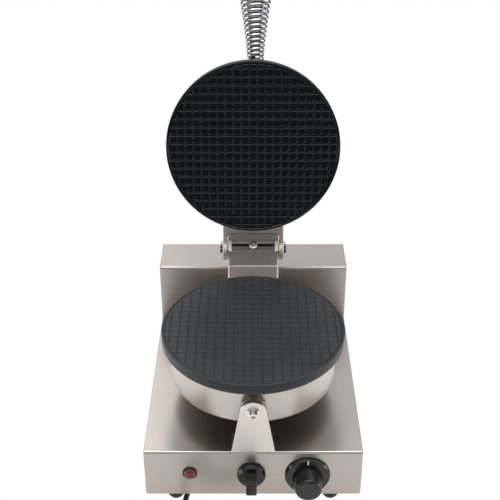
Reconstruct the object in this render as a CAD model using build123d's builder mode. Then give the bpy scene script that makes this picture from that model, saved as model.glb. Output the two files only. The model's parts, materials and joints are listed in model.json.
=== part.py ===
from build123d import *
from math import asin, cos, pi, radians, sin, tan
import os

# A waffle cone maker: a steel housing carries a fixed round lower iron, and a hinged upper iron stands open.
# Millimetres. +X is the user's right, -Y the front, +Z up. The feet stand on z = 0.

# ---- Driving dimensions ----
body_width = 240.0
body_depth = 308.0
base_height = 62.0  # of the flat base in front
column_height = 79.0  # of the rear column above the base
column_depth = 59.0
foot_height = 20.0
front_y = -179.96  # the front panel, which puts the bounding box's middle on y = 0
sheet = 1.2
bend = 2.5  # outside radius of the housing's folds
panel_edge = 0.8  # rounding of the side panels' outer edges

plate_radius = 105.0
plate_thickness = 12.5
plate_face_z = 172.0
plate_centre = 108.0  # behind the front panel
pan_radius = 95.2
pan_height = 47.0
pan_wall = 1.5
baking_gap = 1.0  # between the two closed plates

pin_behind_front = 243.5
pin_radius = 4.5
open_tilt = 12.0  # the open iron leans back this far from vertical
running_gap = 0.05  # radial clearance of what turns

cord_radius = 3.1
coil_turn = 6.3  # from one turn of the coil to the next
coil_outer_turn = 42.0  # radius of the outermost turn's centreline

# ---- Places worked out from them ----
base_bottom = foot_height
base_top = base_bottom + base_height
column_top = base_top + column_height
back_y = front_y + body_depth
column_y = back_y - column_depth
inner_half = body_width / 2 - sheet
plate_y = front_y + plate_centre
pan_rim_z = plate_face_z - plate_thickness
pan_floor_z = pan_rim_z - pan_height
pin_y = front_y + pin_behind_front
pin_z = plate_face_z + baking_gap + 18.5
pin_face = 18.5  # from the hinge pin to the upper plate's baking face
pin_reach = pin_behind_front - plate_centre  # from the hinge pin to the plate's centre

side_plane = Plane.YZ
lid_normal = (0, -cos(radians(open_tilt)), sin(radians(open_tilt)))
lid_up = (0, sin(radians(open_tilt)), cos(radians(open_tilt)))
# On lid_plane x is the object's X, y goes up the open iron from the pin, and the normal is the baking face's.
lid_plane = Plane(origin=(0, pin_y, pin_z), x_dir=(1, 0, 0), z_dir=lid_normal)
iron_plane = Plane(
    origin=(0, pin_y + pin_reach * lid_up[1], pin_z + pin_reach * lid_up[2]),
    x_dir=(1, 0, 0),
    z_dir=lid_normal,
)
# On ear_plane x goes up the open iron from the pin, y is towards the baking face, and the normal is +X.
ear_plane = Plane(origin=(0, pin_y, pin_z), x_dir=lid_up, z_dir=(1, 0, 0))

os.makedirs("parts", exist_ok=True)


def save(part, name):
    """Labels a finished piece and writes it to its own file."""
    part.label = name
    export_step(part, f"parts/{name}.step")


def turned(plane, outline):
    """A solid of revolution about the plane's normal; outline is (radius, height along the normal)."""
    section = Plane(origin=plane.origin, x_dir=plane.x_dir, z_dir=-plane.y_dir)
    with BuildPart() as piece:
        with BuildSketch(section):
            with BuildLine():
                Polyline(*outline, close=True)
            make_face()
        revolve(axis=Axis(plane.origin, plane.z_dir))
    return piece.part


def front_plane(x, z):
    """A plane on the front panel that faces out of it."""
    return Plane(origin=(x, front_y, z), x_dir=(1, 0, 0), z_dir=(0, -1, 0))


def cap_screw(plane, head_radius, head_height, shank_radius, shank_length, socket_radius):
    """A screw with a round head on the plane, a hexagonal socket in it and a shank behind it."""
    with BuildPart() as screw:
        with BuildSketch(plane):
            Circle(head_radius)
        extrude(amount=head_height)
        fillet(screw.edges().sort_by(lambda edge: plane.to_local_coords(edge.center()).Z)[-1], 0.6)
        with BuildSketch(plane):
            Circle(shank_radius)
        extrude(amount=-shank_length)
        with BuildSketch(plane.offset(head_height)):
            RegularPolygon(socket_radius, 6)
        extrude(amount=-head_height * 0.6, mode=Mode.SUBTRACT)
    return screw.part


# ---- Housing ----
switch_x = -2.0
switch_z = 50.0
thermostat_x = 60.0
thermostat_z = 49.0
lamp_x = -70.0
lamp_z = 52.0
bush_radius = 6.0
conduit_bore = 9.0
foot_x = 88.0
foot_inset = 20.0
foot_places = {
    "foot_front_left": (-foot_x, front_y + foot_inset),
    "foot_front_right": (foot_x, front_y + foot_inset),
    "foot_rear_left": (-foot_x, back_y - foot_inset),
    "foot_rear_right": (foot_x, back_y - foot_inset),
}
bracket_screw_z = 136.5
bracket_foot_holes = [(-14.0, front_y + 20), (14.0, front_y + 20)]
gland_x = -60.0
gland_y = front_y + 150
gland_bore = 7.0

with BuildPart() as base_cover:
    with BuildSketch(side_plane):
        with BuildLine():
            Polyline(
                (front_y, base_bottom),
                (front_y, base_top),
                (column_y + 12, base_top),
                (column_y + 12, base_top - sheet),
                (front_y + sheet, base_top - sheet),
                (front_y + sheet, base_bottom),
                close=True,
            )
        make_face()
    extrude(amount=inner_half, both=True)
    folds = base_cover.edges().filter_by(Axis.X).sort_by(Axis.Y)
    fillet(folds.filter_by_position(Axis.Y, front_y - 0.1, front_y + 0.1).sort_by(Axis.Z)[-1], bend)
    inside = folds.filter_by_position(Axis.Y, front_y + sheet - 0.1, front_y + sheet + 0.1)
    fillet(inside.sort_by(Axis.Z)[-1], bend - sheet)
    fillet(base_cover.edges().filter_by(Axis.X).group_by(Axis.Z)[0].sort_by(Axis.Y)[0], panel_edge)
    with BuildSketch(Plane.XZ.offset(-front_y)):
        with Locations((switch_x, switch_z), (thermostat_x, thermostat_z), (lamp_x, lamp_z)):
            Circle(bush_radius + 0.2)
    extrude(amount=bend * 2, both=True, mode=Mode.SUBTRACT)
    with BuildSketch(Plane.XY.offset(base_top)):
        with Locations((0, plate_y)):
            Circle(conduit_bore)
        with Locations(*bracket_foot_holes):
            Circle(2.2)
    extrude(amount=-bend * 2, mode=Mode.SUBTRACT)
save(base_cover.part, "base_cover")

vent_rows = 5
with BuildPart() as column_cover:
    with BuildSketch(side_plane):
        with BuildLine():
            Polyline(
                (column_y, base_top),
                (column_y, column_top),
                (back_y, column_top),
                (back_y, base_bottom),
                (back_y - sheet, base_bottom),
                (back_y - sheet, column_top - sheet),
                (column_y + sheet, column_top - sheet),
                (column_y + sheet, base_top),
                close=True,
            )
        make_face()
    extrude(amount=inner_half, both=True)
    top_edges = column_cover.edges().filter_by(Axis.X)
    fillet(top_edges.filter_by_position(Axis.Z, column_top - 0.1, column_top + 0.1), bend)
    under = column_top - sheet
    fillet(top_edges.filter_by_position(Axis.Z, under - 0.1, under + 0.1), bend - sheet)
    with BuildSketch(Plane.XZ.offset(-back_y)):
        with GridLocations(56, 9, 3, vent_rows):
            with Locations((0, base_bottom + 40)):
                SlotOverall(44, 4)
    extrude(amount=bend * 2, both=True, mode=Mode.SUBTRACT)
    with BuildSketch(Plane.XY.offset(column_top)):
        with Locations((-16, column_y + 30), (16, column_y + 30)):
            Circle(2.2)
    extrude(amount=-bend * 2, mode=Mode.SUBTRACT)
save(column_cover.part, "column_cover")


def side_panel(x, outer_side):
    """An L-shaped end panel from x to x + sheet; outer_side is -1 on the left and 1 on the right."""
    with BuildPart() as panel:
        with BuildSketch(side_plane.offset(x)) as outline:
            with BuildLine():
                Polyline(
                    (front_y, base_bottom),
                    (front_y, base_top),
                    (column_y, base_top),
                    (column_y, column_top),
                    (back_y, column_top),
                    (back_y, base_bottom),
                    close=True,
                )
            make_face()
            corners = outline.vertices()
            fillet(corners.group_by(Axis.Y)[0].sort_by(Axis.Z)[-1], bend)
            fillet(corners.group_by(Axis.Z)[-1], bend)
        extrude(amount=sheet)
        outer_face = panel.faces().filter_by(Axis.X).sort_by(lambda face: outer_side * face.center().X)[-1]
        fillet(outer_face.outer_wire().edges(), panel_edge)
    return panel.part


save(side_panel(-body_width / 2, -1), "left_side_panel")
save(side_panel(inner_half, 1), "right_side_panel")

bottom_depth = body_depth - 2 * sheet
with BuildPart() as bottom_plate:
    with BuildSketch(Plane.XY.offset(base_bottom)):
        with Locations((0, front_y + body_depth / 2)):
            Rectangle(2 * inner_half, bottom_depth)
        with Locations(*foot_places.values()):
            Circle(2.2, mode=Mode.SUBTRACT)
        with Locations((gland_x, gland_y)):
            Circle(gland_bore, mode=Mode.SUBTRACT)
        with Locations((20, front_y + body_depth / 2)):
            with GridLocations(50, 14, 2, 6):
                SlotOverall(40, 5, mode=Mode.SUBTRACT)
    extrude(amount=sheet)
save(bottom_plate.part, "bottom_plate")

foot_outline = [
    (4.5, 0),
    (6.4, 0),
    (7.6, 0.8),
    (9.6, 4.0),
    (11.0, 8.0),
    (12.5, foot_height),
    (2.2, foot_height),
    (2.2, foot_height - 11),
    (4.5, foot_height - 11),
]
for foot_name, (foot_at_x, foot_at_y) in foot_places.items():
    save(turned(Plane((foot_at_x, foot_at_y, 0)), foot_outline), foot_name)

screw_outline = [(0, 5.5), (3.8, 5.5), (3.8, 9.0), (2.1, 9.0), (2.1, foot_height + 4), (0, foot_height + 4)]
with BuildPart() as foot_screws:
    for place in foot_places.values():
        add(turned(Plane((*place, 0)), screw_outline))
save(foot_screws.part, "foot_screws")

# ---- Front bracket ----
bracket_thickness = 2.5
bracket_front = front_y + 0.6
bracket_half = 23.8
bracket_round = 14.5

with BuildPart() as front_bracket:
    with BuildSketch(Plane.XZ.offset(-bracket_front)):
        with Locations((0, bracket_screw_z)):
            Circle(bracket_round)
        with Locations((0, base_top)):
            Rectangle(2 * bracket_half, 1, align=(Align.CENTER, Align.MIN))
        make_hull()
        with Locations((0, bracket_screw_z)):
            Circle(3.2, mode=Mode.SUBTRACT)
    extrude(amount=-bracket_thickness)
    front_face = front_bracket.faces().sort_by(Axis.Y)[0]
    fillet(front_face.outer_wire().edges().filter_by_position(Axis.Z, base_top + 0.1, 999), 0.5)
    with BuildSketch(Plane.XY.offset(base_top)):
        with Locations((0, bracket_front)):
            Rectangle(2 * bracket_half, 28, align=(Align.CENTER, Align.MIN))
        with Locations(*bracket_foot_holes):
            Circle(2.2, mode=Mode.SUBTRACT)
    extrude(amount=bracket_thickness)
save(front_bracket.part, "front_bracket")

with BuildPart() as bracket_foot_screws:
    for screw_x, screw_y in bracket_foot_holes:
        head_plane = Plane((screw_x, screw_y, base_top + bracket_thickness))
        add(cap_screw(head_plane, 3.8, 2.8, 2.0, 8, 1.6))
save(bracket_foot_screws.part, "bracket_foot_screws")

pan_front = plate_y - pan_radius
bracket_back = bracket_front + bracket_thickness
spacer_length = pan_front - bracket_back
spacer_plane = Plane(
    origin=(0, bracket_back, bracket_screw_z),
    x_dir=(1, 0, 0),
    z_dir=(0, 1, 0),
)
with BuildPart() as bracket_spacer:
    add(
        turned(
            spacer_plane,
            [
                (3.2, 0),
                (9.0, 0),
                (9.0, 2.5),
                (bracket_round, 2.5),
                (bracket_round, 5.0),
                (9.0, 5.0),
                (9.0, spacer_length + 0.5),
                (3.2, spacer_length + 0.5),
            ],
        )
    )
    with BuildSketch(Plane.XY):
        with Locations((0, plate_y)):
            Circle(pan_radius)
    extrude(amount=200, mode=Mode.SUBTRACT)
save(bracket_spacer.part, "bracket_spacer")

washer_front = front_plane(0, bracket_screw_z).offset(-0.6)
save(turned(washer_front, [(3.1, 0), (7.6, 0), (7.6, 0.9), (7.2, 1.3), (3.1, 1.3)]), "bracket_washer")
screw_reach = 1.3 + bracket_thickness + spacer_length + pan_wall + 4
save(cap_screw(washer_front.offset(1.3), 4.9, 5.0, 3.0, screw_reach, 2.6), "bracket_screw")

# ---- The two irons ----
# Both are drawn on a plane across the pan's rim whose normal points the way that the baking face looks.
plate_screw_ring = 80.0
plate_screw_angles = [45, 135, 225, 315]
plate_spigot = 6.0  # depth of the boss under the plate that centres it in the pan
insulation_depth = 16.0
screw_bore = 2.05  # for the shanks of radius 2 through the pans, the arm and the brackets
saddle_wall = 3.0
arm_screw_places = [(-24, -10.0), (24, -10.0), (-24, -22.0), (24, -22.0)]  # across, and behind the pin


def iron_pan(rim, floor_bore):
    """A round pan with holes for the plate's screws and, for floor_bore above zero, one for the wiring."""
    with BuildPart() as pan:
        with BuildSketch(rim):
            Circle(pan_radius)
        extrude(amount=-pan_height)
        fillet(pan.edges().sort_by(lambda edge: rim.to_local_coords(edge.center()).Z)[0], 3.0)
        with BuildSketch(rim):
            Circle(pan_radius - pan_wall)
        extrude(amount=-(pan_height - pan_wall), mode=Mode.SUBTRACT)
        with BuildSketch(rim):
            if floor_bore > 0:
                Circle(floor_bore)
            with PolarLocations(plate_screw_ring, 4, start_angle=45):
                Circle(2.7)
        extrude(amount=-(pan_height + 1), mode=Mode.SUBTRACT)
    return pan.part


def baking_plate(rim):
    """A thick round plate on the pan's rim, with a boss inside it that takes the four screws."""
    with BuildPart() as plate:
        with BuildSketch(rim):
            Circle(plate_radius)
        extrude(amount=plate_thickness)
        chamfer(plate.edges().filter_by(GeomType.CIRCLE), 1.0)
        with BuildSketch(rim):
            Circle(pan_radius - pan_wall - 0.3)
        extrude(amount=-plate_spigot)
        with BuildSketch(rim.offset(-plate_spigot)):
            with PolarLocations(plate_screw_ring, 4, start_angle=45):
                Circle(2.5)
        extrude(amount=12, mode=Mode.SUBTRACT)
    return plate.part


def heating_element(rim):
    """A tubular heater bent into an open ring under the plate."""
    centre = rim.offset(-9.5).origin
    with BuildPart() as element:
        with BuildSketch(Plane(origin=centre, x_dir=rim.x_dir, z_dir=-rim.y_dir)):
            with Locations((60, 0)):
                Circle(3.3)
        revolve(axis=Axis(centre, rim.z_dir), revolution_arc=330)
    return element.part


def insulation_disc(rim, floor_bore):
    """A mineral wool disc that lies on the pan's floor."""
    with BuildPart() as disc:
        with BuildSketch(rim.offset(pan_wall - pan_height)):
            Circle(pan_radius - pan_wall - 3)
            if floor_bore > 0:
                Circle(floor_bore + 1, mode=Mode.SUBTRACT)
            with PolarLocations(plate_screw_ring, 4, start_angle=45):
                Circle(3.0, mode=Mode.SUBTRACT)
        extrude(amount=insulation_depth)
    return disc.part


def plate_screws(rim):
    """Four long screws from under the pan's floor into the plate's boss."""
    with BuildPart() as screws:
        for angle in plate_screw_angles:
            across = plate_screw_ring * cos(radians(angle))
            along = plate_screw_ring * sin(radians(angle))
            seat = rim.offset(-pan_height).from_local_coords(Vector(across, along, 0))
            under_pan = Plane(origin=seat, x_dir=rim.x_dir, z_dir=-rim.z_dir)
            add(cap_screw(under_pan, 4.2, 3.0, 2.45, pan_height + 5, 1.8))
    return screws.part


lower_rim = Plane((0, plate_y, pan_rim_z))
upper_rim = iron_plane.offset(pin_face - plate_thickness)

arm_screw_planes = []
for across, behind in arm_screw_places:
    swing = asin(across / pan_radius)
    outward = Vector(1, 0, 0) * sin(swing) - Vector(lid_up) * cos(swing)
    seat = iron_plane.offset(behind).origin + outward * (pan_radius + saddle_wall)
    arm_screw_planes.append(Plane(origin=seat, x_dir=lid_normal, z_dir=outward))

with BuildPart() as lower_pan:
    add(iron_pan(lower_rim, conduit_bore))
    with BuildSketch(front_plane(0, bracket_screw_z)):
        Circle(3.2)
    extrude(amount=-(plate_centre - pan_radius + 5), mode=Mode.SUBTRACT)
save(lower_pan.part, "lower_pan")
save(baking_plate(lower_rim), "lower_plate")
save(heating_element(lower_rim), "lower_element")
save(insulation_disc(lower_rim, conduit_bore), "lower_insulation")
save(plate_screws(lower_rim), "lower_plate_screws")

with BuildPart() as upper_pan:
    add(iron_pan(upper_rim, 0))
    for screw_plane in arm_screw_planes:
        with BuildSketch(screw_plane):
            Circle(screw_bore)
        extrude(amount=-(saddle_wall + pan_wall + 1), mode=Mode.SUBTRACT)
save(upper_pan.part, "upper_pan")
save(baking_plate(upper_rim), "upper_plate")
save(heating_element(upper_rim), "upper_element")
save(insulation_disc(upper_rim, 0), "upper_insulation")
save(plate_screws(upper_rim), "upper_plate_screws")

conduit_outline = [
    (conduit_bore, base_top),
    (16.0, base_top),
    (16.0, base_top + 3),
    (conduit_bore + 2, base_top + 3),
    (conduit_bore + 2, pan_floor_z - 3),
    (16.0, pan_floor_z - 3),
    (16.0, pan_floor_z),
    (conduit_bore, pan_floor_z),
]
save(turned(Plane((0, plate_y, 0)), conduit_outline), "wiring_conduit")

# ---- Hinge ----
flange_outer = 31.6
flange_thickness = 4.5
flange_inner = flange_outer - flange_thickness
bracket_face_y = pin_y - 10.7  # front of the bracket's upright wall
bracket_wall = 2.3
wall_top_z = pin_z + 4.5
crease_z = pin_z - 18.0
ledge = 0.7  # the wall steps forward by this much at its crease
wall_foot_y = bracket_face_y - 6.5
wall_foot_z = 150.0
strut_y = front_y + 190  # inside the lower pan, which cuts the strut to its own curve
strut_z = 148.0
bracket_low_z = 128.0
horn_top = 24.0  # up the open lid from the pin
stop_front = -4.9  # behind the pin, along the baking face's normal
stop_thickness = 3.0
stop_back = stop_front - stop_thickness
stop_low = 7.2
stop_shoulder = 12.8
stop_top = 26.0


def beside_pin(up, towards):
    """The (y, z) of a point this far up the open lid from the pin and this far towards its baking face."""
    return pin_y + up * lid_up[1] + towards * lid_normal[1], pin_z + up * lid_up[2] + towards * lid_normal[2]


with BuildPart() as hinge_bracket:
    with BuildSketch(side_plane.offset(flange_inner)):
        with BuildLine():
            Polyline(
                (strut_y, bracket_low_z),
                (strut_y, strut_z),
                (wall_foot_y, wall_foot_z),
                (bracket_face_y - ledge, crease_z),
                (bracket_face_y, crease_z + ledge),
                (bracket_face_y, pin_z + 4.0),
                (pin_y - 1.7, pin_z + 13.2),
                (pin_y + 0.3, pin_z + 13.2),
                beside_pin(12.0, stop_back),
                beside_pin(horn_top, stop_back),
                beside_pin(horn_top, stop_back - 4.1),
                beside_pin(8.0, stop_back - 8.1),
                (column_y + 30, column_top),
                (column_y, column_top),
                (column_y, bracket_low_z),
                close=True,
            )
        make_face()
        with Locations((pin_y, pin_z)):
            Circle(pin_radius, mode=Mode.SUBTRACT)
    extrude(amount=flange_thickness)
    mirror(about=Plane.YZ)
    with BuildSketch(side_plane):
        with BuildLine():
            Polyline(
                (strut_y, strut_z - bracket_wall),
                (strut_y, strut_z),
                (wall_foot_y, wall_foot_z),
                (bracket_face_y - ledge, crease_z),
                (bracket_face_y, crease_z + ledge),
                (bracket_face_y, wall_top_z),
                (bracket_face_y + bracket_wall, wall_top_z),
                (bracket_face_y + bracket_wall, crease_z + ledge - 1.0),
                (bracket_face_y - ledge + bracket_wall, crease_z - 1.0),
                (wall_foot_y + bracket_wall, wall_foot_z - bracket_wall),
                close=True,
            )
        make_face()
    extrude(amount=flange_inner, both=True)
    corners = hinge_bracket.edges().filter_by(lambda edge: abs(abs(edge.center().X) - flange_outer) < 0.01)
    front_corners = corners.filter_by_position(Axis.Y, strut_y, bracket_face_y + 0.1)
    fillet(front_corners.filter_by_position(Axis.Z, wall_foot_z, pin_z + 100), 2.0)
    with BuildSketch(Plane.XY.offset(column_top)):
        with Locations((0, column_y + 12)):
            Rectangle(2 * flange_inner, 30, align=(Align.CENTER, Align.MIN))
        with Locations((-16, column_y + 30), (16, column_y + 30)):
            Circle(2.2, mode=Mode.SUBTRACT)
    extrude(amount=bracket_wall)
    with BuildSketch(Plane.XY.offset(bracket_low_z)):
        with Locations((0, plate_y)):
            Circle(pan_radius)
    extrude(amount=200, mode=Mode.SUBTRACT)
save(hinge_bracket.part, "hinge_bracket")

with BuildPart() as hinge_bracket_screws:
    for screw_x in (-16, 16):
        head_plane = Plane((screw_x, column_y + 30, column_top + bracket_wall))
        add(cap_screw(head_plane, 3.8, 2.8, 2.0, 8, 1.6))
save(hinge_bracket_screws.part, "hinge_bracket_screws")

# The open arm's web rests on this plate, which stands 0.3 mm behind it, against the flanges' horns.
arm_front = -0.6  # measured along the baking face's normal from the pin
arm_back = stop_front + 0.3
stop_half = flange_outer - 0.2
with BuildPart() as stop_plate:
    with BuildSketch(lid_plane.offset(stop_front)):
        with Locations((0, stop_low)):
            Rectangle(2 * flange_inner, stop_top - stop_low, align=(Align.CENTER, Align.MIN))
        with Locations((0, stop_shoulder)):
            Rectangle(2 * stop_half, stop_top - stop_shoulder, align=(Align.CENTER, Align.MIN))
    extrude(amount=-stop_thickness)
save(stop_plate.part, "stop_plate")

pin_half = 41.6
clip_x = 39.8
clip_wire = 0.9
sleeve_radius = 8.2
lock_radius = 1.5
lock_neck = 3.0
lock_head = 5.2
lock_head_place = 8.9  # from the pin's axis to the underside of the head
lock_tilt = radians(60)  # the lock screw points this far up from level, towards the front
lock_plane = Plane(origin=(0, pin_y, pin_z), x_dir=(1, 0, 0), z_dir=(0, -cos(lock_tilt), sin(lock_tilt)))
pin_section = Plane(origin=(0, pin_y, pin_z), x_dir=(0, 1, 0), z_dir=(1, 0, 0))

with BuildPart() as hinge_sleeve:
    with BuildSketch(pin_section):
        Circle(sleeve_radius)
        Circle(pin_radius, mode=Mode.SUBTRACT)
    extrude(amount=flange_inner, both=True)
    with BuildSketch(lock_plane):
        Circle(lock_radius)
    extrude(amount=sleeve_radius + 1, both=True, mode=Mode.SUBTRACT)
save(hinge_sleeve.part, "hinge_sleeve")

with BuildPart() as hinge_pin:
    with BuildSketch(pin_section):
        Circle(pin_radius)
    extrude(amount=pin_half, both=True)
    chamfer(hinge_pin.edges().filter_by(GeomType.CIRCLE), 0.6)
    for clip_side in (-clip_x, clip_x):
        with BuildSketch(Plane((clip_side, pin_y, pin_z))):
            Circle(clip_wire + 0.05)
        extrude(amount=pin_radius + 1, both=True, mode=Mode.SUBTRACT)
    with BuildSketch(lock_plane):
        Circle(lock_radius)
    extrude(amount=pin_radius + 1, both=True, mode=Mode.SUBTRACT)
save(hinge_pin.part, "hinge_pin")

with BuildPart() as pin_clips:
    for clip_side in (-clip_x, clip_x):
        with BuildSketch(Plane((clip_side, pin_y, pin_z - 9))):
            Circle(clip_wire)
        extrude(amount=15)
        with BuildSketch(Plane((clip_side, pin_y, pin_z + 8.2), x_dir=(0, 1, 0), z_dir=(1, 0, 0))):
            Circle(3.2)
            Circle(1.3, mode=Mode.SUBTRACT)
        extrude(amount=clip_wire - 0.1, both=True)
save(pin_clips.part, "pin_clips")

with BuildPart() as pin_lock_screw:
    with BuildSketch(lock_plane.offset(lock_head_place)):
        Circle(lock_head)
    extrude(amount=3.6)
    fillet(pin_lock_screw.edges().sort_by(lambda edge: lock_plane.to_local_coords(edge.center()).Z)[-1], 1.0)
    with BuildSketch(lock_plane.offset(lock_head_place + 3.6)):
        RegularPolygon(2.6, 6)
    extrude(amount=-2.0, mode=Mode.SUBTRACT)
    with BuildSketch(lock_plane.offset(lock_head_place)):
        Circle(lock_neck)
    extrude(amount=-2.0)
    with BuildSketch(pin_section):
        Circle(sleeve_radius)
    extrude(amount=lock_head + 1, both=True, mode=Mode.SUBTRACT)
    with BuildSketch(lock_plane.offset(lock_head_place)):
        Circle(lock_radius)
    extrude(amount=-2 * sleeve_radius)
save(pin_lock_screw.part, "pin_lock_screw")

# ---- Lid arm ----
ear_inner = 32.4
ear_thickness = 5.8
ear_outer = ear_inner + ear_thickness
ear_lobe = 13.2
arm_cut = 19.4  # from the pin up to the window in the arm's web
arm_depth = 24.0  # how far the ears reach behind the pin at the pan
ear_edge = 1.2
window_edge = 1.9
lobe_outline = [
    (0, 0),
    (ear_lobe, 0),
    (ear_lobe, ear_thickness - ear_edge),
    (ear_lobe - 0.3 * ear_edge, ear_thickness - 0.3 * ear_edge),
    (ear_lobe - ear_edge, ear_thickness),
    (0, ear_thickness),
]

with BuildPart() as lid_arm:
    with BuildSketch(ear_plane.offset(ear_inner)):
        with BuildLine():
            Polyline(
                (0, arm_front),
                (50, arm_front),
                (50, -arm_depth),
                (30, -arm_depth),
                (0, -ear_lobe),
                close=True,
            )
        make_face()
    extrude(amount=ear_thickness)
    outer_edges = lid_arm.faces().sort_by(Axis.X)[-1].outer_wire().edges()
    fillet(outer_edges.sort_by(lambda edge: ear_plane.to_local_coords(edge.center()).Y)[-1], ear_edge)
    add(turned(ear_plane.offset(ear_inner), lobe_outline))
    with BuildSketch(ear_plane.offset(ear_inner)):
        Circle(pin_radius + running_gap)
    extrude(amount=ear_thickness, mode=Mode.SUBTRACT)
    mirror(about=Plane.YZ)
    with BuildSketch(lid_plane.offset(arm_front)):
        with Locations((0, arm_cut)):
            Rectangle(2 * ear_inner, 50 - arm_cut, align=(Align.CENTER, Align.MIN))
    extrude(amount=arm_back - arm_front)
    window = lid_arm.edges().filter_by(lambda edge: abs(edge.tangent_at(0).dot(Vector(lid_normal))) > 0.999)
    inner = [
        edge
        for edge in window
        if abs(abs(edge.center().X) - ear_inner) < 0.01
        and abs(lid_plane.to_local_coords(edge.center()).Y - arm_cut) < 0.01
    ]
    fillet(inner, 4.0)
    rim = [
        edge
        for edge in lid_arm.edges()
        if abs(lid_plane.to_local_coords(edge.center()).Z - arm_front) < 0.01
        and abs(edge.center().X) < ear_inner + 0.1
        and lid_plane.to_local_coords(edge.center()).Y < arm_cut + 4.1
        and lid_plane.to_local_coords(edge.center()).Y > arm_cut - 0.1
    ]
    chamfer(rim, window_edge)
    with BuildSketch(iron_plane.offset(arm_front)):
        Circle(pan_radius + saddle_wall)
        with Locations((0, -pin_reach / 2 - 50)):
            Rectangle(2 * ear_outer, pin_reach, mode=Mode.INTERSECT)
    extrude(amount=-(arm_depth + arm_front + 6))
    with BuildSketch(iron_plane.offset(pin_face)):
        Circle(pan_radius)
    extrude(amount=-100, mode=Mode.SUBTRACT)
    for screw_plane in arm_screw_planes:
        with BuildSketch(screw_plane):
            Circle(screw_bore)
        extrude(amount=-(saddle_wall + 1), mode=Mode.SUBTRACT)
save(lid_arm.part, "lid_arm")

with BuildPart() as arm_screws:
    for screw_plane in arm_screw_planes:
        add(cap_screw(screw_plane, 4.0, 2.8, 2.0, 7, 1.6))
save(arm_screws.part, "arm_screws")

# ---- Handle ----
handle_lift = 25.0  # the handle slopes this far behind the plane of the open iron
handle_depth = -14.0
handle_x = 2.8
handle_seat = iron_plane.offset(handle_depth).origin + Vector(lid_up) * pan_radius + Vector(handle_x, 0, 0)
lift = radians(handle_lift)
handle_direction = Vector(lid_up) * cos(lift) - Vector(lid_normal) * sin(lift)
handle_plane = Plane(origin=handle_seat, x_dir=(1, 0, 0), z_dir=handle_direction)
rod_radius = 4.0
spring_start = 6.5
spring_coils = 18
wire_radius = 2.7
spring_narrow = 7.4  # radius of the wire's centreline at the iron
spring_flare = 0.404  # added to it by each coil, and
spring_flare_growth = 0.0264  # by the square of each coil's number
spring_wide_coil = 14
spring_tip = 9.0
spring_pitch = 5.3  # between the first two coils
spring_pitch_growth = 0.1  # added to it by each coil, up to
spring_pitch_limit = 6.3
spring_web = 0.9  # half the thickness of the skin that joins the rings in place of the spring's helix


def coil_radius(coil):
    """Radius of the spring wire's centreline, which widens to spring_wide_coil and then closes in."""
    widening = min(coil, spring_wide_coil)
    radius = spring_narrow + spring_flare * widening + spring_flare_growth * widening**2
    beyond = max(coil - spring_wide_coil, 0) / (spring_coils - 1 - spring_wide_coil)
    return radius - (radius - spring_tip) * beyond**2


with BuildPart() as handle_boss:
    with BuildSketch(handle_plane.offset(-12)):
        Circle(10)
        Circle(rod_radius, mode=Mode.SUBTRACT)
    extrude(amount=12 + spring_start - wire_radius)
    with BuildSketch(iron_plane.offset(pin_face)):
        Circle(pan_radius)
    extrude(amount=-100, mode=Mode.SUBTRACT)
save(handle_boss.part, "handle_boss")

# Each coil as (radius of the wire's centreline, distance along the handle).
coil_places = [(coil_radius(0), spring_start)]
for coil in range(1, spring_coils):
    pitch = min(spring_pitch + spring_pitch_growth * (coil - 1), spring_pitch_limit)
    coil_places.append((coil_radius(coil), coil_places[-1][1] + pitch))
spring_end = coil_places[-1][1] + wire_radius
web_outline = [(radius + spring_web, place) for radius, place in coil_places]
web_outline += [(radius - spring_web, place) for radius, place in reversed(coil_places)]

with BuildPart() as handle_spring:
    with BuildSketch(Plane(origin=handle_seat, x_dir=(1, 0, 0), z_dir=-handle_plane.y_dir)):
        with Locations(*coil_places):
            Circle(wire_radius)
        with BuildLine():
            Polyline(*web_outline, close=True)
        make_face()
    revolve(axis=Axis(handle_seat, handle_direction))
save(handle_spring.part, "handle_spring")

nut_length = 16.5
rod_end = spring_end + nut_length - 3
with BuildPart() as handle_rod:
    with BuildSketch(handle_plane):
        Circle(rod_radius)
    extrude(amount=rod_end)
    with BuildSketch(iron_plane.offset(pin_face)):
        Circle(pan_radius)
    extrude(amount=-100, mode=Mode.SUBTRACT)
save(handle_rod.part, "handle_rod")

nut_plane = handle_plane.offset(spring_end)
with BuildPart() as handle_nut:
    with BuildSketch(nut_plane):
        Circle(11)
    extrude(amount=2)
    with BuildSketch(nut_plane.offset(2)):
        RegularPolygon(7.5, 6)
    extrude(amount=6)
    with BuildSketch(nut_plane.offset(8)):
        Circle(6.2)
    extrude(amount=nut_length - 8)
    dome = handle_nut.edges().sort_by(lambda edge: handle_plane.to_local_coords(edge.center()).Z)[-1]
    fillet(dome, 4.5)
    with BuildSketch(handle_plane):
        Circle(rod_radius)
    extrude(amount=rod_end, mode=Mode.SUBTRACT)
save(handle_nut.part, "handle_nut")

# ---- Controls ----
shaft_radius = 3.0
knob_gap = 0.5  # between the front panel and a knob
body_front = front_y + sheet


def control_body(x, z, width, height, depth):
    """A switch or thermostat behind the front panel, with a threaded bush that guides the shaft."""
    with BuildPart() as body:
        with BuildSketch(Plane.XZ.offset(-(body_front + 1.0))):
            with Locations((x, z)):
                Rectangle(width, height)
        extrude(amount=-depth)
        fillet(body.edges().filter_by(Axis.Y), 2.0)
        with BuildSketch(Plane.XZ.offset(-(front_y - 0.3))):
            with Locations((x, z)):
                Circle(bush_radius)
        extrude(amount=-(sheet + 1.3))
        with BuildSketch(Plane.XZ.offset(-(front_y - 1))):
            with Locations((x, z)):
                Circle(shaft_radius + running_gap)
        extrude(amount=-14, mode=Mode.SUBTRACT)
    return body.part


def control_shaft(x, z, length):
    """The turning shaft, from inside the control's body to inside its knob."""
    return turned(front_plane(x, z), [(0, -11.5), (shaft_radius, -11.5), (shaft_radius, length), (0, length)])


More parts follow.
